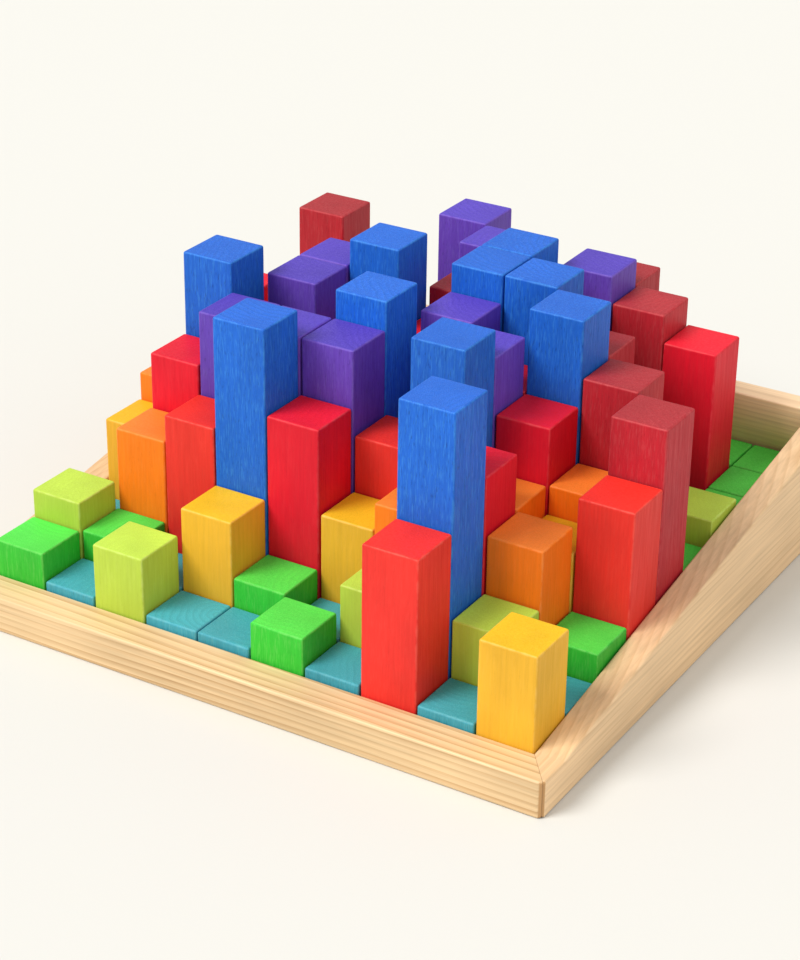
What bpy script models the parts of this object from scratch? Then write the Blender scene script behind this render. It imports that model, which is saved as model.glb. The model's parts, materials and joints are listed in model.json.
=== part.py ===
# A stepped block set: a hundred square wooden blocks stand on end, ten by ten, in a pine tray.
# Metres, +Z up. The origin is on the ground under the middle of the tray. +X runs along the low
# front rail, and +Y runs back to the tall rear rail. The blocks come in ten lengths, a colour for each.

import math

import bmesh
import bpy
from mathutils import Matrix, Vector

# Blocks
BLOCK_SIDE = 0.040
LENGTH_STEP = 0.020  # each length is one step longer than the last
BLOCK_CHAMFER = 0.0012  # on the edges of the blocks that aren't joined to others
BLOCK_PLAY = 0.001  # free space between two blocks that stand side by side
EDGE_PLAY = 0.001  # free space between the outer blocks and the rails

# Tray
FRONT_THICKNESS = 0.026
SIDE_THICKNESS = 0.020
REAR_THICKNESS = 0.020
FRONT_HEIGHT = 0.0255
REAR_HEIGHT = 0.0875
BASE_CLEARANCE = 0.0045  # the base panel hangs this far above the ground
BASE_THICKNESS = 0.006
GROOVE_DEPTH = 0.006
RAIL_ROUNDING = 0.002

# Fits
FIT_GAP = 0.0003  # between pieces that touch on the real set
MITRE_OVERCUT = 0.020  # how far a mitre cutter reaches past the rail it trims
JOIN_BITE = 0.002  # how far the filler between joined blocks reaches into them
WELD_REACH = 0.00001  # corners of joined blocks that lie closer than this become one

# One letter for each block, seen from above: the first line is the rear row, and the last is the front one
LAYOUT = (
    "MYYVOOMLGG",
    "LRYYVMVMCG",
    "LRMYMBMLTG",
    "CRVBCBBMLL",
    "ORVCCVCBMG",
    "OBRRBOVCOM",
    "YCVVVRBOYR",
    "TORBCYOCOG",
    "LGTYGTLBLT",
    "GTLTTGTRTY",
)

# Blocks with the same letter here are one piece, and a dot is a block of its own
JOINED = (
    ".aa.bbbccc",
    "aaabbb...c",
    "aaabbeffcc",
    "aag.deefcc",
    "aagdd.h..c",
    "a.dd.ih...",
    "..jjji..k.",
    "l.......k.",
    "lmm.nn....",
    "...oo.....",
)

GROUP_NAMES = {
    "a": "left_rear_blocks",
    "b": "middle_rear_blocks",
    "c": "right_rear_blocks",
    "d": "left_middle_blocks",
    "e": "blue_blocks_corner",
    "f": "burgundy_and_lime_blocks",
    "g": "violet_blocks_left",
    "h": "violet_and_crimson_blocks",
    "i": "vermilion_and_orange_blocks",
    "j": "violet_blocks_row",
    "k": "orange_and_yellow_blocks",
    "l": "lime_and_teal_blocks",
    "m": "green_and_teal_blocks_left",
    "n": "green_and_teal_blocks_middle",
    "o": "teal_blocks_front",
}

# letter: name, number of length steps, stain colour
STAINS = {
    "T": ("teal", 1, (0.07, 0.36, 0.38)),
    "G": ("green", 2, (0.10, 0.50, 0.06)),
    "L": ("lime", 3, (0.48, 0.62, 0.08)),
    "Y": ("yellow", 4, (0.85, 0.46, 0.03)),
    "O": ("orange", 5, (0.80, 0.14, 0.02)),
    "R": ("vermilion", 6, (0.80, 0.045, 0.035)),
    "C": ("crimson", 7, (0.60, 0.015, 0.035)),
    "M": ("burgundy", 8, (0.45, 0.035, 0.05)),
    "V": ("violet", 9, (0.11, 0.065, 0.42)),
    "B": ("blue", 10, (0.025, 0.13, 0.60)),
}
STAIN_ROUGHNESS = 0.55
PINE = {"colour": (0.80, 0.55, 0.31), "roughness": 0.6}

# Sizes that follow from those above
GRID_COUNT = len(LAYOUT)
CELL_PITCH = BLOCK_SIDE + BLOCK_PLAY
OPENING = GRID_COUNT * CELL_PITCH - BLOCK_PLAY + 2 * EDGE_PLAY
TRAY_DEPTH = OPENING + FRONT_THICKNESS + REAR_THICKNESS
INNER_X = OPENING / 2
OUTER_X = INNER_X + SIDE_THICKNESS
OUTER_FRONT = -TRAY_DEPTH / 2
OUTER_REAR = TRAY_DEPTH / 2
INNER_FRONT = OUTER_FRONT + FRONT_THICKNESS
INNER_REAR = OUTER_REAR - REAR_THICKNESS
FLOOR_TOP = BASE_CLEARANCE + BASE_THICKNESS
BLOCK_FOOT = FLOOR_TOP + FIT_GAP


def clear_scene():
    for old in list(bpy.data.objects):
        bpy.data.objects.remove(old, do_unlink=True)


def make_collection(name, hidden=False):
    made = bpy.data.collections.new(name)
    made.hide_render = hidden
    bpy.context.scene.collection.children.link(made)
    return made


def make_material(name, colour, roughness):
    material = bpy.data.materials.new(name)
    material.use_nodes = True
    shader = material.node_tree.nodes["Principled BSDF"]
    shader.inputs["Base Color"].default_value = (*colour, 1.0)
    shader.inputs["Roughness"].default_value = roughness
    shader.inputs["Metallic"].default_value = 0.0
    material.diffuse_color = (*colour, 1.0)
    return material


def adopt(thing, collection):
    for old in list(thing.users_collection):
        old.objects.unlink(thing)
    collection.objects.link(thing)
    return thing


def box_between(name, low, high, collection):
    """A box from its lowest to its highest corner, with its scale applied."""
    low = Vector(low)
    high = Vector(high)
    bpy.ops.mesh.primitive_cube_add(size=1)
    made = adopt(bpy.context.object, collection)
    made.name = name
    made.data.name = name
    made.data.transform(Matrix.Diagonal((*(high - low), 1)))
    made.location = (low + high) / 2
    return made


def as_cutter(thing):
    thing.hide_render = True
    thing.display_type = "WIRE"
    return thing


def add_bevel(thing, width, segments):
    bevel = thing.modifiers.new("rounded edges", "BEVEL")
    bevel.width = width
    bevel.segments = segments
    bevel.limit_method = "ANGLE"
    bevel.angle_limit = math.radians(30)


def add_boolean(thing, other, operation):
    boolean = thing.modifiers.new(f"{operation.lower()} {other.name}", "BOOLEAN")
    boolean.operation = operation
    boolean.solver = "EXACT"
    boolean.material_mode = "TRANSFER"
    if isinstance(other, bpy.types.Collection):
        boolean.operand_type = "COLLECTION"
        boolean.collection = other
    else:
        boolean.object = other


# Tray

def mitre_cutter(name, inner, outer, keep_towards):
    """A tall box with one face half a gap short of the line from inner to outer, on the far side of keep_towards."""
    inner = Vector(inner)
    outer = Vector(outer)
    along = (outer - inner).normalized()
    away = Vector((-along.y, along.x))
    if away.dot(Vector(keep_towards) - inner) > 0:
        away.negate()
    reach = (outer - inner).length + 2 * MITRE_OVERCUT
    tall = REAR_HEIGHT + 2 * MITRE_OVERCUT
    centre = (inner + outer) / 2 + away * (reach / 2 - FIT_GAP / 2)
    cutter = box_between(name, (-reach / 2, -reach / 2, 0), (reach / 2, reach / 2, tall), cutters)
    cutter.location = (centre.x, centre.y, REAR_HEIGHT / 2)
    cutter.rotation_euler.z = math.atan2(along.y, along.x)
    return as_cutter(cutter)


def finish_rail(rail, ends, middle, groove):
    """Rounds a rail's edges, trims its two mitres and cuts the base panel's groove."""
    rail.data.materials.append(pine)
    add_bevel(rail, RAIL_ROUNDING, 2)
    for number, (inner, outer) in enumerate(ends):
        cutter = mitre_cutter(f"{rail.name}_mitre_{number}", inner, outer, middle)
        add_boolean(rail, cutter, "DIFFERENCE")
    add_boolean(rail, groove, "DIFFERENCE")
    return rail


def side_rail(name, side, groove):
    """A side rail rises in a straight slope from the front rail's top to the rear rail's top."""
    outline = (
        (OUTER_FRONT, 0),
        (OUTER_REAR, 0),
        (OUTER_REAR, REAR_HEIGHT),
        (INNER_REAR, REAR_HEIGHT),
        (INNER_FRONT, FRONT_HEIGHT),
        (OUTER_FRONT, FRONT_HEIGHT),
    )
    curve = bpy.data.curves.new(name + "_outline", "CURVE")
    curve.dimensions = "2D"
    curve.fill_mode = "BOTH"
    curve.extrude = SIDE_THICKNESS / 2
    spline = curve.splines.new("POLY")
    spline.points.add(len(outline) - 1)
    for point, (y, z) in zip(spline.points, outline):
        point.co = (y, z, 0, 1)
    spline.use_cyclic_u = True
    drawn = bpy.data.objects.new(name + "_outline", curve)
    parts.objects.link(drawn)
    # The outline is drawn flat, so it is stood up with its width along Y and its height along Z
    drawn.matrix_world = Matrix.Rotation(math.pi / 2, 4, "Z") @ Matrix.Rotation(math.pi / 2, 4, "X")
    drawn.location.x = side * (INNER_X + SIDE_THICKNESS / 2)
    rail = mesh_of(drawn, name)
    front = ((side * INNER_X, INNER_FRONT), (side * OUTER_X, OUTER_FRONT))
    rear = ((side * INNER_X, INNER_REAR), (side * OUTER_X, OUTER_REAR))
    return finish_rail(rail, (front, rear), (side * OUTER_X, 0), groove)


def mesh_of(drawn, name):
    """Turns a filled outline into a mesh whose caps are welded to its sides."""
    bpy.context.view_layer.update()
    evaluated = drawn.evaluated_get(bpy.context.evaluated_depsgraph_get())
    made = bpy.data.objects.new(name, bpy.data.meshes.new_from_object(evaluated))
    made.matrix_world = drawn.matrix_world
    parts.objects.link(made)
    bpy.data.objects.remove(drawn)
    shape = bmesh.new()
    shape.from_mesh(made.data)
    bmesh.ops.remove_doubles(shape, verts=shape.verts, dist=1e-5)
    bmesh.ops.recalc_face_normals(shape, faces=shape.faces)
    shape.to_mesh(made.data)
    shape.free()
    return made


def straight_rail(name, low_y, high_y, height, inner_y, outer_y, groove):
    rail = box_between(name, (-OUTER_X, low_y, 0), (OUTER_X, high_y, height), parts)
    left = ((-INNER_X, inner_y), (-OUTER_X, outer_y))
    right = ((INNER_X, inner_y), (OUTER_X, outer_y))
    return finish_rail(rail, (left, right), (0, outer_y), groove)


def make_tray():
    reach = GROOVE_DEPTH
    groove = as_cutter(box_between(
        "base_groove",
        (-INNER_X - reach, INNER_FRONT - reach, BASE_CLEARANCE - FIT_GAP),
        (INNER_X + reach, INNER_REAR + reach, FLOOR_TOP + FIT_GAP),
        cutters,
    ))
    straight_rail("front_rail", OUTER_FRONT, INNER_FRONT, FRONT_HEIGHT, INNER_FRONT, OUTER_FRONT, groove)
    straight_rail("rear_rail", INNER_REAR, OUTER_REAR, REAR_HEIGHT, INNER_REAR, OUTER_REAR, groove)
    side_rail("left_rail", -1, groove)
    side_rail("right_rail", 1, groove)
    reach = GROOVE_DEPTH - FIT_GAP
    base = box_between(
        "base_panel",
        (-INNER_X - reach, INNER_FRONT - reach, BASE_CLEARANCE),
        (INNER_X + reach, INNER_REAR + reach, FLOOR_TOP),
        parts,
    )
    base.data.materials.append(pine)


# Blocks

def cell_corner(row, column):
    """The front left corner of a cell's block. Rows count from the front and columns from the left."""
    x = -INNER_X + EDGE_PLAY + column * CELL_PITCH
    y = INNER_FRONT + EDGE_PLAY + row * CELL_PITCH
    return Vector((x, y, BLOCK_FOOT))


def stain_at(row, column):
    return STAINS[LAYOUT[GRID_COUNT - 1 - row][column]]


def make_block(name, row, column, collection):
    """One block, with its origin at the middle of its foot, on the line along which it is lifted."""
    stain, steps, _ = stain_at(row, column)
    low = cell_corner(row, column)
    foot = low + Vector((BLOCK_SIDE / 2, BLOCK_SIDE / 2, 0))
    high = low + Vector((BLOCK_SIDE, BLOCK_SIDE, steps * LENGTH_STEP))
    block = box_between(name, low, high, collection)
    block.data.transform(Matrix.Translation(block.location - foot))
    block.location = foot
    block.data.materials.append(stains[stain])
    return block


def make_filler(name, cells, collection):
    """A box in the play between two or four neighbouring blocks, as high as the lowest of them."""
    corners = [cell_corner(*cell) for cell in cells]
    low = Vector(min(corner[axis] for corner in corners) for axis in range(3))
    high = Vector(max(corner[axis] for corner in corners) for axis in range(3))
    for axis in range(2):
        if high[axis] > low[axis]:
            low[axis] += BLOCK_SIDE - JOIN_BITE
            high[axis] += JOIN_BITE
        else:
            high[axis] += BLOCK_SIDE
    stain, steps, _ = min((stain_at(*cell) for cell in cells), key=lambda entry: entry[1])
    high.z += steps * LENGTH_STEP
    filler = box_between(name, low, high, collection)
    filler.data.materials.append(stains[stain])
    return filler


def make_group(name, cells):
    """Blocks joined side by side with the play between them filled. The first block carries the others."""
    helpers = make_collection(name + "_helpers", hidden=True)
    joined = make_block(name, *cells[0], parts)
    for number, (row, column) in enumerate(cells):
        if number:
            as_cutter(make_block(f"{name}_member_{number}", row, column, helpers))
        beside, behind, across = (row, column + 1), (row + 1, column), (row + 1, column + 1)
        squares = (((row, column), beside), ((row, column), behind), ((row, column), beside, behind, across))
        for square_number, square in enumerate(squares):
            if all(cell in cells for cell in square):
                as_cutter(make_filler(f"{name}_filler_{number}_{square_number}", square, helpers))
    add_boolean(joined, helpers, "UNION")
    weld = joined.modifiers.new("weld", "WELD")
    weld.merge_threshold = WELD_REACH


def make_blocks():
    groups = {name: [] for name in GROUP_NAMES.values()}
    for row in range(GRID_COUNT):
        for column, letter in enumerate(JOINED[GRID_COUNT - 1 - row]):
            if letter in GROUP_NAMES:
                groups[GROUP_NAMES[letter]].append((row, column))
            else:
                stain = stain_at(row, column)[0]
                block = make_block(f"{stain}_block_row{row + 1}_col{column + 1}", row, column, parts)
                add_bevel(block, BLOCK_CHAMFER, 1)
    for name, cells in groups.items():
        make_group(name, cells)


clear_scene()
parts = make_collection("stepped_block_set")
cutters = make_collection("cutters", hidden=True)
pine = make_material("pine", PINE["colour"], PINE["roughness"])
stains = {name: make_material(name + "_stain", colour, STAIN_ROUGHNESS) for name, _, colour in STAINS.values()}
make_tray()
make_blocks()
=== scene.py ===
# A stepped block set: a hundred stained wooden blocks stand on end in a pine tray with sloping sides.
import json
import math
import random

import bmesh
import bpy
from mathutils import Matrix, Vector, noise
from mathutils.bvhtree import BVHTree


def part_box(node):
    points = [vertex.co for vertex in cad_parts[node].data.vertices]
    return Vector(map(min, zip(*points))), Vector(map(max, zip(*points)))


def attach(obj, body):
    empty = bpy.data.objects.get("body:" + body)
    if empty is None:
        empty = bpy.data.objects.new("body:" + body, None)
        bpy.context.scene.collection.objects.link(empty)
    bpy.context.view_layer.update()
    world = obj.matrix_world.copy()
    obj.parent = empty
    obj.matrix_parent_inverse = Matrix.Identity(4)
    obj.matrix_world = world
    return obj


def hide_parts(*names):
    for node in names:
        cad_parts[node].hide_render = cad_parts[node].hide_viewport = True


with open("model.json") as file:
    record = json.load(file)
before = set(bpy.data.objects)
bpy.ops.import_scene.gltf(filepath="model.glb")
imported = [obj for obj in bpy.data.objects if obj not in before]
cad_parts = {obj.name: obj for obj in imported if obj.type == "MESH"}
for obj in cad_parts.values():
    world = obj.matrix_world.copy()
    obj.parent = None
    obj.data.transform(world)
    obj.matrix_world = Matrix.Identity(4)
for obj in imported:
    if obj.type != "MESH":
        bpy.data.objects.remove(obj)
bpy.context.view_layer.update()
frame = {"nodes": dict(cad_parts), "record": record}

mm = 0.001
cellCount = 10  # the tray's opening is divided into ten by ten cells with a block in each
noiseBand = (0.30, 0.70)  # nearly all of a noise's values lie between these
diceSeed = 11699

stains = (  # shortest block first: name, side, end grain and worn edge colours, strength of the pores
    ("teal", (0.051, 0.340, 0.446), (0.057, 0.386, 0.465), (0.190, 0.480, 0.480), 0.50),
    ("green", (0.034, 0.484, 0.035), (0.084, 0.685, 0.071), (0.280, 0.720, 0.180), 0.30),
    ("lime", (0.446, 0.602, 0.063), (0.515, 0.747, 0.077), (0.720, 0.840, 0.280), 0.12),
    ("yellow", (0.785, 0.427, 0.030), (0.855, 0.507, 0.013), (0.950, 0.640, 0.200), 0.10),
    ("orange", (0.950, 0.200, 0.008), (0.970, 0.235, 0.026), (0.900, 0.360, 0.120), 0.15),
    ("vermilion", (0.749, 0.031, 0.023), (0.885, 0.029, 0.019), (0.920, 0.180, 0.130), 0.12),
    ("crimson", (0.695, 0.007, 0.025), (0.789, 0.007, 0.028), (0.800, 0.110, 0.120), 0.14),
    ("burgundy", (0.459, 0.017, 0.029), (0.397, 0.023, 0.033), (0.560, 0.130, 0.130), 0.35),
    ("violet", (0.133, 0.057, 0.471), (0.089, 0.051, 0.487), (0.220, 0.160, 0.600), 0.45),
    ("blue", (0.011, 0.126, 0.615), (0.014, 0.130, 0.665), (0.070, 0.340, 0.780), 0.60),
)


# Node helpers

def newMaterial(name):
    material = bpy.data.materials.new(name)
    material.use_nodes = True
    tree = material.node_tree
    return material, tree, tree.nodes["Principled BSDF"]


def put(tree, kind, inputs=None, **settings):
    node = tree.nodes.new(kind)
    for key, value in settings.items():
        setattr(node, key, value)
    for key, value in (inputs or {}).items():
        if isinstance(value, bpy.types.NodeSocket):
            tree.links.new(value, node.inputs[key])
        else:
            node.inputs[key].default_value = value
    return node


def maths(tree, operation, first, second=0.0, third=0.0):
    return put(tree, "ShaderNodeMath", {0: first, 1: second, 2: third}, operation=operation).outputs[0]


def vectors(tree, operation, first, second):
    return put(tree, "ShaderNodeVectorMath", {0: first, 1: second}, operation=operation).outputs[0]


def stretch(tree, source, low, high, toLow=0.0, toHigh=1.0):  # a clamped change of range
    spread = {"Value": source, "From Min": low, "From Max": high, "To Min": toLow, "To Max": toHigh}
    return put(tree, "ShaderNodeMapRange", spread).outputs["Result"]


def blend(tree, share, first, second):  # first and second are colours or colour sockets
    mix = tree.nodes.new("ShaderNodeMix")
    mix.data_type = "RGBA"
    for socket, value in ((mix.inputs[0], share), (mix.inputs[6], first), (mix.inputs[7], second)):
        if isinstance(value, bpy.types.NodeSocket):
            tree.links.new(value, socket)
        else:
            socket.default_value = (*value, 1.0) if isinstance(value, tuple) else value
    return mix.outputs[2]


def noiseAt(tree, point, scale, detail=3.0, roughness=0.55, squeeze=(1, 1, 1)):
    squeezed = vectors(tree, "MULTIPLY", point, squeeze)
    values = {"Vector": squeezed, "Scale": scale, "Detail": detail, "Roughness": roughness}
    return put(tree, "ShaderNodeTexNoise", values).outputs["Fac"]


def scaled(colour, share, lift=0.0):
    return tuple(min(1.0, channel * share + lift) for channel in colour)


def finishShader(tree, shader, look, height):
    values = {"Strength": look["bump"], "Distance": look["bumpDistance"], "Height": height}
    bump = put(tree, "ShaderNodeBump", values)
    tree.links.new(bump.outputs["Normal"], shader.inputs["Normal"])
    shader.inputs["Specular IOR Level"].default_value = look["specular"]


def grainPoint(tree):
    # Each piece carries its own shift in the "variety" attribute, so that no two are cut from the same wood
    reach = (7, 7, 7)
    place = put(tree, "ShaderNodeTexCoord").outputs["Object"]
    variety = put(tree, "ShaderNodeAttribute", attribute_name="variety").outputs["Vector"]
    moved = vectors(tree, "ADD", place, vectors(tree, "MULTIPLY", variety, reach))
    return place, variety, moved


def ringsAt(tree, place, variety, moved, settings, fibre):
    # Growth rings are cylinders round a pith line that lies outside the piece and runs along the fibre
    fibreStretch, sharpness = 0.12, 2.2
    pith = vectors(tree, "MULTIPLY", vectors(tree, "SUBTRACT", variety, (0.5, 0.5, 0.5)), settings["pithSpread"])
    offset = vectors(tree, "SUBTRACT", vectors(tree, "SUBTRACT", place, pith), settings["pithShift"])
    across = tuple(0.0 if axis == fibre else 1.0 for axis in range(3))
    flat = vectors(tree, "MULTIPLY", offset, across)
    radius = put(tree, "ShaderNodeVectorMath", {0: flat}, operation="LENGTH").outputs["Value"]
    squeeze = tuple(fibreStretch if axis == fibre else 1.0 for axis in range(3))
    waver = noiseAt(tree, moved, settings["waverScale"], 2.0, squeeze=squeeze)
    radius = maths(tree, "MULTIPLY_ADD", waver, settings["waver"], radius)
    turns = maths(tree, "DIVIDE", radius, settings["ringWidth"])
    share = maths(tree, "FRACT", turns)
    early = stretch(tree, share, 0.0, settings["earlyShare"])
    late = stretch(tree, share, settings["lateEnd"], 1.0, 1.0, 0.0)
    return maths(tree, "MULTIPLY", maths(tree, "POWER", early, sharpness), late)


# Stained blocks

stainLook = {
    "fibreScale": 520,
    "fibreSqueeze": (1, 1, 0.05),
    "fleckScale": 1500,
    "fleckSqueeze": (1, 1, 0.13),
    "washScale": 1100,
    "washSqueeze": (1, 1, 0.09),
    "blotchScale": 26,
    "blotchSqueeze": (1, 1, 0.5),
    "speckScale": 1500,
    "pithSpread": (0.10, 0.10, 0.0),
    "pithShift": (0.045, 0.03, 0.0),
    "waver": 0.012,
    "waverScale": 34,
    "ringWidth": 0.0046,
    "earlyShare": 0.80,
    "lateEnd": 0.80,
    # Pairs are a value without pores, and what full pores add to it
    "sideDark": (0.94, -0.14),
    "sidePale": (1.03, 0.06),
    "sideRings": (0.20, 0.50),
    "endDark": (0.90, -0.22),
    "endRings": (0.30, 0.90),
    "ringTone": 0.84,
    "poreTone": 0.40,
    "wash": 0.55,
    "endPores": 0.50,
    "endPale": (1.06, 0.006),
    "poreBand": (0.60, 0.70),
    "washBand": (0.50, 0.68),
    "speckBand": (0.30, 0.60),
    "endPoreBand": (0.52, 0.64),
    "ringPatches": (0.42, 0.62, 0.15, 1.0),
    "endTurn": (0.75, 0.95),
    "cloud": (0.88, 1.10),
    "pieceTone": (0.93, 1.05),
    "wearWidth": 1.3 * mm,
    "wear": 0.40,
    "wearScale": 140,
    "wearBand": (0.34, 0.66),
    "wearReach": (0.35, 1.5),
    "roughness": (0.42, 0.66),
    "specular": 0.22,
    "bump": 0.14,
    "bumpDistance": 0.35 * mm,
    "relief": (0.8, -0.9, -0.5),  # heights of fibres, pores and the rings on an end
}


def edgeWear(tree, place, moved, half, look):
    # How near a point is to one of the box's edges, broken up so that the wear comes and goes
    inside = put(tree, "ShaderNodeVectorMath", {0: place}, operation="ABSOLUTE").outputs[0]
    inside = vectors(tree, "SUBTRACT", half, inside)
    axes = put(tree, "ShaderNodeSeparateXYZ", {0: inside}).outputs
    nearXY = maths(tree, "MINIMUM", axes[0], axes[1])
    farXY = maths(tree, "MAXIMUM", axes[0], axes[1])
    second = maths(tree, "MAXIMUM", nearXY, maths(tree, "MINIMUM", farXY, axes[2]))
    broken = stretch(tree, noiseAt(tree, moved, look["wearScale"], 4.0), *look["wearBand"], *look["wearReach"])
    reach = maths(tree, "MULTIPLY", broken, look["wearWidth"])
    near = maths(tree, "SUBTRACT", 1.0, maths(tree, "DIVIDE", second, reach))
    return put(tree, "ShaderNodeClamp", {0: near}).outputs[0]


def makeStain(name, side, end, worn, poreStrength, half):
    material, tree, shader = newMaterial(name + "Stain")
    look = stainLook

    def withPores(key):
        plain, more = look[key]
        return plain + more * poreStrength

    place, variety, moved = grainPoint(tree)
    fibre = noiseAt(tree, moved, look["fibreScale"], 5.0, 0.62, look["fibreSqueeze"])
    fleck = noiseAt(tree, moved, look["fleckScale"], 2.0, 0.5, look["fleckSqueeze"])
    wash = noiseAt(tree, moved, look["washScale"], 3.0, 0.6, look["washSqueeze"])
    blotch = noiseAt(tree, moved, look["blotchScale"], 3.0, 0.5, look["blotchSqueeze"])
    speck = noiseAt(tree, moved, look["speckScale"], 3.0, 0.6)
    rings = ringsAt(tree, place, variety, moved, look, 2)
    patches = stretch(tree, blotch, *look["ringPatches"])

    # Sides: soft fibres and rings, dark pores and pale strokes where the stain is washed out
    fibres = stretch(tree, fibre, *noiseBand)
    sideColour = blend(tree, fibres, scaled(side, withPores("sideDark")), scaled(side, withPores("sidePale")))
    sideRings = maths(tree, "MULTIPLY", rings, maths(tree, "MULTIPLY", patches, withPores("sideRings")))
    sideColour = blend(tree, sideRings, sideColour, scaled(side, look["ringTone"]))
    pores = maths(tree, "MULTIPLY", stretch(tree, fleck, *look["poreBand"]), poreStrength)
    sideColour = blend(tree, pores, sideColour, scaled(side, look["poreTone"]))
    strokes = maths(tree, "MULTIPLY", stretch(tree, wash, *look["washBand"]), look["wash"] * poreStrength)
    sideColour = blend(tree, strokes, sideColour, worn)

    # Ends: specks and arcs of rings
    endDark = scaled(end, withPores("endDark"))
    specks = stretch(tree, speck, *look["speckBand"])
    endColour = blend(tree, specks, endDark, scaled(end, *look["endPale"]))
    endRings = maths(tree, "MULTIPLY", rings, maths(tree, "MULTIPLY", patches, withPores("endRings")))
    endColour = blend(tree, endRings, endColour, endDark)
    endPores = maths(tree, "MULTIPLY", stretch(tree, speck, *look["endPoreBand"]), look["endPores"] * poreStrength)
    endColour = blend(tree, endPores, endColour, worn)

    normal = put(tree, "ShaderNodeNewGeometry").outputs["Normal"]
    upright = maths(tree, "ABSOLUTE", put(tree, "ShaderNodeSeparateXYZ", {0: normal}).outputs[2])
    onEnd = stretch(tree, upright, *look["endTurn"])
    colour = blend(tree, onEnd, sideColour, endColour)
    cloud = stretch(tree, blotch, *noiseBand, *look["cloud"])
    chance = put(tree, "ShaderNodeSeparateXYZ", {0: variety}).outputs[2]
    tone = maths(tree, "MULTIPLY", cloud, stretch(tree, chance, 0.0, 1.0, *look["pieceTone"]))
    toned = put(tree, "ShaderNodeHueSaturation", {"Value": tone, "Color": colour}).outputs["Color"]
    wear = edgeWear(tree, place, moved, half, look)
    colour = blend(tree, maths(tree, "MULTIPLY", wear, look["wear"]), toned, worn)
    tree.links.new(colour, shader.inputs["Base Color"])

    low, high = look["roughness"]
    tree.links.new(stretch(tree, fibre, *noiseBand, high, low), shader.inputs["Roughness"])
    fibreHeight, poreHeight, ringHeight = look["relief"]
    relief = maths(tree, "MULTIPLY_ADD", pores, poreHeight, maths(tree, "MULTIPLY", fibre, fibreHeight))
    endRelief = maths(tree, "MULTIPLY_ADD", rings, ringHeight, speck)
    height = put(tree, "ShaderNodeMix", {0: onEnd, 2: relief, 3: endRelief}).outputs[0]
    finishShader(tree, shader, look, height)
    return material


blockShape = {
    "rounding": 1.5 * mm,
    "roundingSteps": 3,
    "cutEvery": 11 * mm,  # the long edges are cut into stretches that waver a little
    "edgeWaver": 0.10 * mm,
    "waverScale": 70,
    "waverReach": 50,  # how far apart two blocks' waver is drawn
    "shuffle": 0.25 * mm,  # how far a block may stand off its cell's middle
    "turn": math.radians(0.25),
}


def blockMesh(name, size, dice):
    shape = bmesh.new()
    bmesh.ops.create_cube(shape, size=1)
    bmesh.ops.scale(shape, vec=size, verts=shape.verts)
    slices = max(2, round(size.z / blockShape["cutEvery"]))
    for step in range(1, slices):
        height = size.z * (step / slices - 0.5)
        everything = shape.verts[:] + shape.edges[:] + shape.faces[:]
        bmesh.ops.bisect_plane(shape, geom=everything, plane_co=(0, 0, height), plane_no=(0, 0, 1))
    shift = Vector((dice.random(), dice.random(), dice.random())) * blockShape["waverReach"]
    nearEnd = size.z * 0.49
    for corner in shape.verts:
        push = noise.noise_vector(corner.co * blockShape["waverScale"] + shift) * blockShape["edgeWaver"]
        inward = [math.copysign(abs(push[axis]), corner.co[axis]) for axis in range(3)]
        if abs(corner.co.z) <= nearEnd:
            inward[2] = 0
        corner.co -= Vector(inward)
    mesh = bpy.data.meshes.new(name)
    shape.to_mesh(mesh)
    shape.free()
    return mesh


def addVariety(mesh, values):
    attribute = mesh.attributes.new("variety", "FLOAT_VECTOR", "POINT")
    attribute.data.foreach_set("vector", list(values) * len(mesh.vertices))


def roundEdges(piece, width, steps, limit=60, byWeight=False):
    bevel = piece.modifiers.new("rounded edges", "BEVEL")
    bevel.width = width
    bevel.segments = steps
    bevel.limit_method = "WEIGHT" if byWeight else "ANGLE"
    bevel.angle_limit = math.radians(limit)
    bevel.harden_normals = True
    piece.data.shade_smooth()


def makeBlock(name, low, high, node, body, material, dice):
    size = high - low
    block = bpy.data.objects.new(name, blockMesh(name, size, dice))
    bpy.context.scene.collection.objects.link(block)
    addVariety(block.data, (dice.random(), dice.random(), dice.random()))
    roundEdges(block, blockShape["rounding"], blockShape["roundingSteps"])
    block.data.materials.append(material)
    reach = blockShape["shuffle"]
    block.location = (low + high) / 2 + Vector((dice.uniform(-reach, reach), dice.uniform(-reach, reach), 0))
    block.rotation_euler.z = dice.uniform(-blockShape["turn"], blockShape["turn"])
    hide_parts(node)
    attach(block, body)
    return block


# Blocks of the frame

trayNodes = ("front_rail", "rear_rail", "left_rail", "right_rail", "base_panel")
insideX = (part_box("left_rail")[1].x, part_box("right_rail")[0].x)
insideY = (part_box("front_rail")[1].y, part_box("rear_rail")[0].y)
cornerLow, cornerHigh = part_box("green_block_row1_col1")
blockSide = cornerHigh.x - cornerLow.x
pitchX = (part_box("burgundy_block_row5_col10")[0].x - cornerLow.x) / (cellCount - 1)
pitchY = (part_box("burgundy_block_row10_col1")[0].y - cornerLow.y) / (cellCount - 1)
probe = Vector((0.43 * blockSide, 0.46 * blockSide, 1))  # off the middle, where triangles share an edge


def blocksOfNode(name):
    # A node holds one block or several that are joined, so each cell is probed from above for the top of its block
    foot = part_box(name)[0].z
    mesh = frame["nodes"][name].data
    solid = BVHTree.FromPolygons([v.co for v in mesh.vertices], [p.vertices for p in mesh.polygons])
    for row in range(cellCount):
        for column in range(cellCount):
            low = Vector((cornerLow.x + column * pitchX, cornerLow.y + row * pitchY, foot))
            top = solid.ray_cast(low + probe, Vector((0, 0, -1)))[0]
            if top:
                yield (row, column), low, Vector((low.x + blockSide, low.y + blockSide, top.z))


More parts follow.
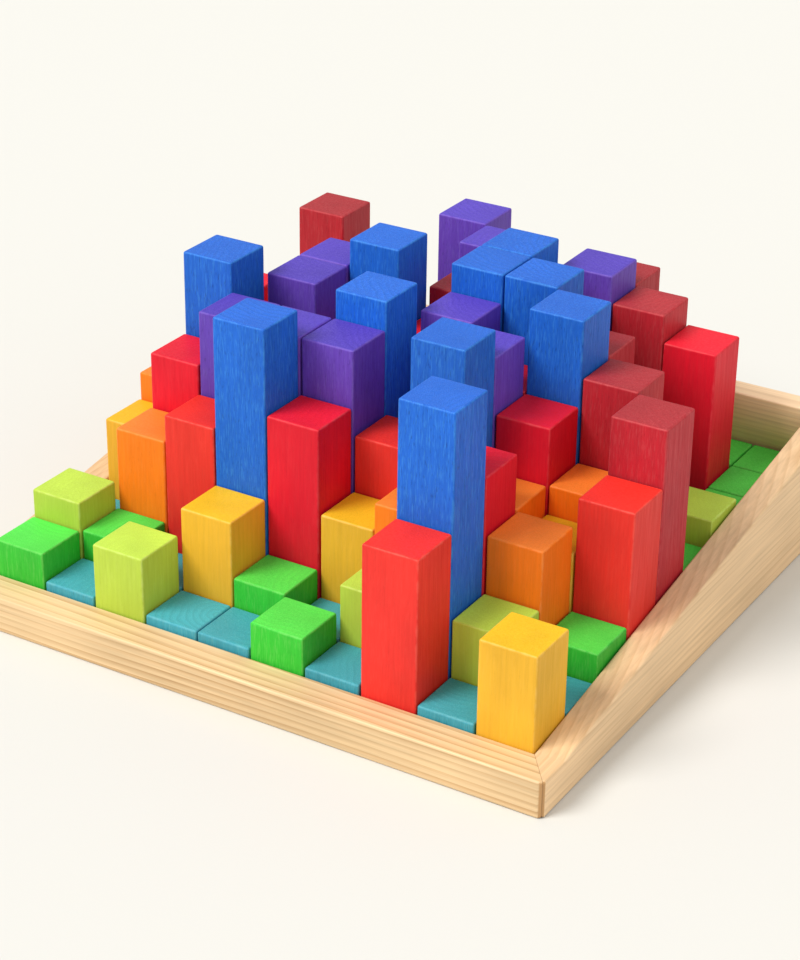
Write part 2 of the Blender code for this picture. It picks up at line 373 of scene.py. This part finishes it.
def makeBlocks():
    bodyOf = {name: body for body, members in frame["record"]["behaviour"]["bodies"].items() for name in members}
    found = []
    for name in sorted(frame["nodes"]):
        if name not in trayNodes:
            found += [(cell, low, high, name) for cell, low, high in blocksOfNode(name)]
    tallest = max(high.z - low.z for _, low, high, _ in found)
    unit = tallest / len(stains)
    materials = []
    for step, (name, sideColour, endColour, worn, pores) in enumerate(stains):
        half = Vector((blockSide, blockSide, unit * (step + 1))) / 2
        materials.append(makeStain(name, sideColour, endColour, worn, pores, half))
    dice = random.Random(diceSeed)
    noise.seed_set(diceSeed)  # without it, noise_vector is seeded by the clock
    for (row, column), low, high, node in sorted(found, key=lambda entry: entry[0]):
        step = round((high.z - low.z) / unit) - 1
        name = f"{stains[step][0]}Block_{row + 1}_{column + 1}"
        makeBlock(name, low, high, node, bodyOf[node], materials[step], dice)
    print("blocks:", len(found))


# Pine tray

railShape = {
    "longEdge": 1.6 * mm,  # rounding of the edges that run along a rail
    "cornerCut": 3.2 * mm,  # what the tray's upright corners lose
    "mitreEdge": 0.10,  # shares of longEdge
    "cornerEdge": 0.55,
    "roundingSteps": 4,
    "kink": 0.6 * mm,  # the slope starts this far past the mitre
    "grooveDepth": 6 * mm,
    "grooveRoom": 0.3 * mm,
}

pineLook = {
    "early": (0.820, 0.590, 0.330),
    "late": (0.500, 0.270, 0.100),
    "end": (0.470, 0.270, 0.120),
    "knot": (0.110, 0.045, 0.018),
    "lateStrength": 0.62,
    "outerPaintedLightShade": 1.0,  # painted light and shade: how much brighter or darker the outer face is painted than the others
    "streakScale": 420,
    "streakSqueeze": (0.03, 1, 1),
    "streakBand": (0.30, 0.72),
    "streakTone": (0.86, 1.09),
    "broadScale": 55,
    "broadSoftness": 0.6,
    "broadTone": (0.35, 1.0),
    "cloudScale": 9,
    "cloudTone": (0.90, 1.08),
    "outerPaintedLightShadeBand": (-0.95, -0.55),
    "knotScale": 14,
    "knotSqueeze": (0.5, 1, 1),
    "knotEdge": (0.016, 0.034, 1.0, 0.0),
    "knotHalo": (0.03, 0.13, 0.30, 0.0),
    "speckScale": 1300,
    "speckBand": (0.35, 0.65),
    "endTurn": (0.35, 0.62),
    "pithSpread": (0.0, 0.05, 0.06),
    "pithShift": (0.0, 0.030, -0.050),
    "waver": 0.012,
    "waverScale": 12,
    "ringWidth": 0.0034,
    "earlyShare": 0.92,
    "lateEnd": 0.86,
    "roughness": (0.44, 0.60),
    "specular": 0.4,
    "bump": 0.16,
    "bumpDistance": 0.3 * mm,
    "relief": (0.6, 0.7),  # heights of the late wood and the streaks
}


def makePine(name, look, fibre=0):
    material, tree, shader = newMaterial(name)
    place, variety, moved = grainPoint(tree)
    streak = noiseAt(tree, moved, look["streakScale"], 5.0, 0.6, look["streakSqueeze"])
    broadSqueeze = tuple(share ** look["broadSoftness"] for share in look["streakSqueeze"])
    broad = noiseAt(tree, moved, look["broadScale"], 3.0, 0.5, broadSqueeze)
    cloud = noiseAt(tree, moved, look["cloudScale"], 2.0)
    rings = ringsAt(tree, place, variety, moved, look, fibre)
    late = maths(tree, "MULTIPLY", rings, look["lateStrength"])
    late = maths(tree, "MULTIPLY", late, stretch(tree, broad, *noiseBand, *look["broadTone"]))
    colour = blend(tree, late, look["early"], look["late"])

    # Tone: streaks, clouds, and painted light and shade on the outer face of a rail
    fine = stretch(tree, streak, *look["streakBand"], *look["streakTone"])
    soft = stretch(tree, cloud, *noiseBand, *look["cloudTone"])
    normal = put(tree, "ShaderNodeNewGeometry").outputs["Normal"]
    turned = put(tree, "ShaderNodeVectorTransform", {0: normal}, vector_type="NORMAL",
                 convert_from="WORLD", convert_to="OBJECT").outputs[0]
    facing = put(tree, "ShaderNodeSeparateXYZ", {0: turned}).outputs
    # Painted light and shade: the outer face's colour is scaled up or down by which way it faces
    outerFacePaintedLightShade = stretch(tree, facing[1], *look["outerPaintedLightShadeBand"], look["outerPaintedLightShade"], 1.0)
    tone = maths(tree, "MULTIPLY", maths(tree, "MULTIPLY", fine, soft), outerFacePaintedLightShade)
    colour = put(tree, "ShaderNodeHueSaturation", {"Value": tone, "Color": colour}).outputs["Color"]

    # Knots with a darker ring of wood round them
    knotPoint = vectors(tree, "MULTIPLY", moved, look["knotSqueeze"])
    knotValues = {"Vector": knotPoint, "Scale": look["knotScale"], "Randomness": 1.0}
    knotAway = put(tree, "ShaderNodeTexVoronoi", knotValues).outputs["Distance"]
    colour = blend(tree, stretch(tree, knotAway, *look["knotHalo"]), colour, look["late"])
    colour = blend(tree, stretch(tree, knotAway, *look["knotEdge"]), colour, look["knot"])

    # End grain on the mitres
    onEnd = stretch(tree, maths(tree, "ABSOLUTE", facing[fibre]), *look["endTurn"])
    speck = noiseAt(tree, moved, look["speckScale"], 3.0)
    endColour = blend(tree, stretch(tree, speck, *look["speckBand"]), look["end"], look["late"])
    colour = blend(tree, onEnd, colour, endColour)
    tree.links.new(colour, shader.inputs["Base Color"])

    low, high = look["roughness"]
    tree.links.new(stretch(tree, streak, *noiseBand, high, low), shader.inputs["Roughness"])
    lateHeight, streakHeight = look["relief"]
    height = maths(tree, "MULTIPLY_ADD", late, lateHeight, maths(tree, "MULTIPLY", streak, streakHeight))
    finishShader(tree, shader, look, height)
    return material


def railStations(length, thickness, reaches, heights):
    # Each station is (place along at the inner face, slope of the section, outer depth, height of the top)
    cut, kink = railShape["cornerCut"], railShape["kink"]
    stations = []
    for side, reach, height in ((-1, reaches[0], heights[0]), (1, reaches[1], heights[1])):
        inner = side * length / 2
        end = (inner, side * reach / thickness, thickness - cut / 2, height)
        shoulder = (inner - side * kink, side * (reach - cut + kink) / thickness, thickness, height)
        start = (inner - side * 2 * kink, side * kink / thickness, thickness, height)
        stations += [end, shoulder, start] if side < 0 else [start, shoulder, end]
    return stations


def railMesh(name, stations, grooveLow, grooveHigh):
    deep = railShape["grooveDepth"]
    shape = bmesh.new()
    rows = []
    for along, slope, outer, top in stations:
        section = ((outer, 0), (0, 0), (0, grooveLow), (deep, grooveLow),
                   (deep, grooveHigh), (0, grooveHigh), (0, top), (outer, top))
        rows.append([shape.verts.new((along + slope * depth, -depth, height)) for depth, height in section])
    around = len(rows[0])
    for first, second in zip(rows, rows[1:]):
        for point in range(around):
            following = (point + 1) % around
            shape.faces.new((first[point], first[following], second[following], second[point]))
    shape.faces.new(rows[0])
    shape.faces.new(rows[-1])
    bmesh.ops.recalc_face_normals(shape, faces=shape.faces)
    weight = shape.edges.layers.float.new("bevel_weight_edge")
    outerLow, innerLow, innerTop, outerTop = 0, 1, 6, 7
    for first, second in zip(rows, rows[1:]):
        for point in (outerLow, innerLow, innerTop, outerTop):
            shape.edges.get((first[point], second[point]))[weight] = 1.0
    for end, shoulder in ((rows[0], rows[1]), (rows[-1], rows[-2])):
        shape.edges.get((end[innerTop], end[outerTop]))[weight] = railShape["mitreEdge"]
        shape.edges.get((end[outerLow], end[outerTop]))[weight] = railShape["mitreEdge"]
        shape.edges.get((shoulder[outerLow], shoulder[outerTop]))[weight] = railShape["cornerEdge"]
    mesh = bpy.data.meshes.new(name)
    shape.to_mesh(mesh)
    shape.free()
    return mesh


def makeTray():
    # The outer faces get painted light and shade: lighter on the side rails, darker on the front rail
    sidePine = {"early": (0.800, 0.562, 0.325), "lateStrength": 0.42, "outerPaintedLightShade": 1.08}
    frontPine = {"lateStrength": 0.95, "lateEnd": 0.93, "outerPaintedLightShade": 0.86}
    rearPine = {"early": (0.900, 0.660, 0.420), "lateStrength": 0.45}
    pines = {name: makePine(name + "Pine", {**pineLook, **changes})
             for name, changes in (("front", frontPine), ("side", sidePine), ("rear", rearPine))}
    front, rear, left, right = [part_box(name) for name in ("front_rail", "rear_rail", "left_rail", "right_rail")]
    panelLow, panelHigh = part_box("base_panel")
    thick = {"front": front[1].y - front[0].y, "rear": rear[1].y - rear[0].y, "side": left[1].x - left[0].x}
    low, high = front[1].z, rear[1].z
    width, depth = insideX[1] - insideX[0], insideY[1] - insideY[0]
    middleY = sum(insideY) / 2
    room = railShape["grooveRoom"]
    sides = (thick["side"], thick["side"])
    plan = (  # node, place, quarter turns, length, thickness, reach and height at both ends, variety
        ("front_rail", (0, insideY[0]), 0, width, thick["front"], sides, (low, low), (0.30, 0.62, 0.41)),
        ("rear_rail", (0, insideY[1]), 2, width, thick["rear"], sides, (high, high), (0.72, 0.18, 0.55)),
        ("right_rail", (insideX[1], middleY), 1, depth, thick["side"], (thick["front"], thick["rear"]),
         (low, high), (0.52, 0.83, 0.67)),
        ("left_rail", (insideX[0], middleY), 3, depth, thick["side"], (thick["rear"], thick["front"]),
         (high, low), (0.14, 0.37, 0.90)),
    )
    for node, (x, y), turns, length, thickness, reaches, heights, variety in plan:
        stations = railStations(length, thickness, reaches, heights)
        name = node.split("_")[0] + "Rail"
        mesh = railMesh(name, stations, panelLow.z - room, panelHigh.z + room)
        rail = bpy.data.objects.new(name, mesh)
        bpy.context.scene.collection.objects.link(rail)
        addVariety(mesh, variety)
        mesh.materials.append(pines.get(node.split("_")[0], pines["side"]))
        roundEdges(rail, railShape["longEdge"], railShape["roundingSteps"], byWeight=True)
        rail.location = (x, y, 0)
        rail.rotation_euler.z = turns * math.pi / 2
        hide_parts(node)
        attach(rail, "tray")
    panel = frame["nodes"]["base_panel"]
    panel.data.materials.clear()
    panel.data.materials.append(makePine("panelPine", {**pineLook, "lateStrength": 0.3, "ringWidth": 0.006}))
    print("tray: four rails and a panel")


# Floor, light and camera

stage = {
    "floor": (0.695, 0.700, 0.680),
    "floorSize": 60,
    "floorDrop": 0.4 * mm,  # so that the floor and the tray's underside aren't in one plane
    "floorRoughness": 0.95,
    "floorSpecular": 0.1,
    "world": (1.0, 0.975, 0.93),
    "worldStrength": 0.67,
    "lights": (  # name, direction that it comes from, spread in degrees, strength, colour
        ("key", (-0.42, -0.62, 0.80), 28, 2.74, (1.0, 0.975, 0.93)),
        ("fill", (0.75, -0.35, 0.60), 60, 0.56, (1.0, 0.965, 0.92)),
    ),
}

view = {
    "target": (-0.0239, 0.0216, 0.0493),
    "azimuth": math.radians(30.84),
    "elevation": math.radians(26.83),
    "roll": math.radians(0.82),
    "distance": 1.7077,
    "lens": 109.25,
    "sensor": 36.0,
}


def makeStage():
    bpy.ops.mesh.primitive_plane_add(size=stage["floorSize"], location=(0, 0, -stage["floorDrop"]))
    floor = bpy.context.object
    floor.name = "floor"
    material, tree, shader = newMaterial("floorPaper")
    shader.inputs["Base Color"].default_value = (*stage["floor"], 1)
    shader.inputs["Roughness"].default_value = stage["floorRoughness"]
    shader.inputs["Specular IOR Level"].default_value = stage["floorSpecular"]
    floor.data.materials.append(material)
    world = bpy.data.worlds.new("studio")
    world.use_nodes = True
    background = world.node_tree.nodes["Background"]
    background.inputs["Color"].default_value = (*stage["world"], 1)
    background.inputs["Strength"].default_value = stage["worldStrength"]
    bpy.context.scene.world = world
    for name, source, spread, strength, colour in stage["lights"]:
        lamp = bpy.data.lights.new(name, "SUN")
        lamp.angle = math.radians(spread)
        lamp.energy = strength
        lamp.color = colour
        stand = bpy.data.objects.new(name, lamp)
        stand.location = Vector(source) * 2
        stand.rotation_euler = (-Vector(source)).to_track_quat("-Z", "Y").to_euler()
        bpy.context.scene.collection.objects.link(stand)
    bpy.context.scene.view_settings.view_transform = "Standard"
    print("stage ready")


def makeCamera():
    azimuth, elevation = view["azimuth"], view["elevation"]
    back = Vector((math.sin(azimuth) * math.cos(elevation),
                   -math.cos(azimuth) * math.cos(elevation), math.sin(elevation)))
    side = Vector((math.cos(azimuth), math.sin(azimuth), 0))
    turn = Matrix((side, back.cross(side), back)).transposed() @ Matrix.Rotation(view["roll"], 3, "Z")
    lens = bpy.data.cameras.new("camera")
    lens.sensor_fit = "HORIZONTAL"
    lens.sensor_width = view["sensor"]
    lens.lens = view["lens"]
    lens.clip_start = 0.05
    camera = bpy.data.objects.new("camera", lens)
    camera.matrix_world = Matrix.Translation(Vector(view["target"]) + back * view["distance"]) @ turn.to_4x4()
    bpy.context.scene.collection.objects.link(camera)
    bpy.context.scene.camera = camera
    print("camera ready")


makeTray()
makeBlocks()
makeStage()
makeCamera()
